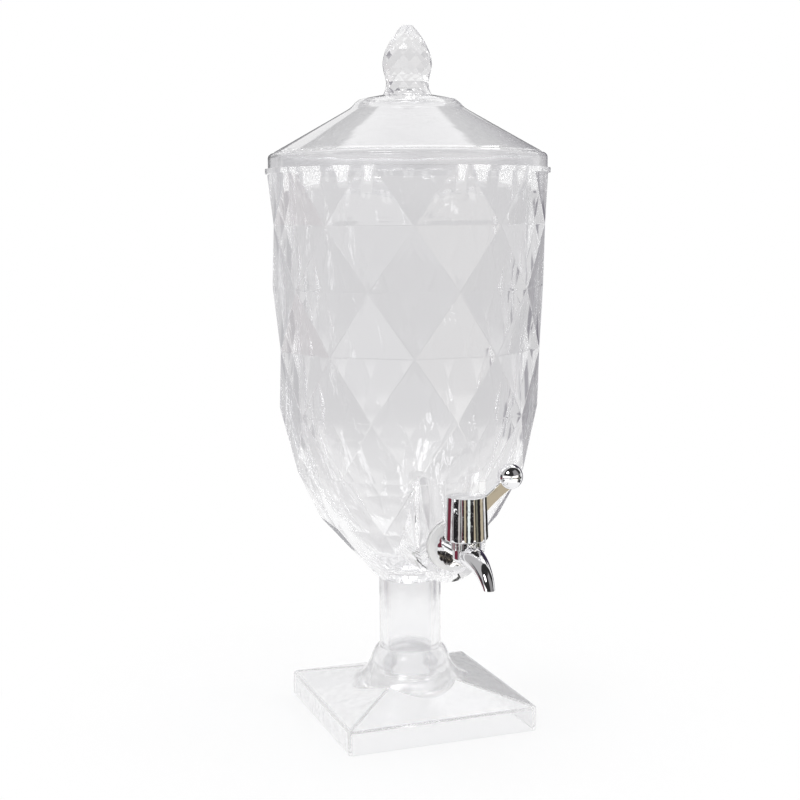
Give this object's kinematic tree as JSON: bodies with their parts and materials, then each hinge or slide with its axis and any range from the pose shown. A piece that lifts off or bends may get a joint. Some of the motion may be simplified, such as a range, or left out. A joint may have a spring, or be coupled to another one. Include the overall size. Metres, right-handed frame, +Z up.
{
  "type": "juice dispenser",
  "caption": "Clear faceted drink dispenser on a square pedestal foot, with a lift-off conical lid, bud knob and a chrome quarter-turn tap low on the front.",
  "frame": {"origin": "on the reservoir's axis, at the plane that the foot stands on", "axes": "+Z up along the axis; the tap points along -Y; +X is to the right seen from the tap's side"},
  "size_m": [0.194, 0.2404, 0.4794],
  "materials": {
    "clear_plastic": "clear moulded gloss",
    "chrome": "polished plating",
    "white_plastic": "moulded satin",
    "silicone": "milky translucent",
    "ring_rubber": "satin",
    "screw_steel": "plain"
  },
  "bodies": {
    "stand": {"base_foot": "clear_plastic", "stem_tube": "clear_plastic", "reservoir": "clear_plastic", "tap_body": "chrome", "outer_washer": "silicone", "inner_washer": "silicone", "lock_nut": "white_plastic", "gland_ring": "white_plastic"},
    "lid": {"lid": "clear_plastic", "lid_knob": "clear_plastic"},
    "handle": {"tap_handle": "chrome", "lever_ball": "chrome", "handle_cap": "chrome", "handle_screw": "screw_steel", "valve_plug": "white_plastic", "plug_ring_lower": "ring_rubber", "plug_ring_upper": "ring_rubber"}
  },
  "joints": [
    {"name": "lid_lift", "type": "slide", "parent": "stand", "child": "lid", "axis": [0, 0, 1], "range_m": [0, 0.1]},
    {"name": "tap_turn", "type": "hinge", "parent": "stand", "child": "handle", "pos_m": [0, -0.1033, 0.14789], "axis": [0, 0, 1], "range_deg": [-90, 0]}
  ]
}
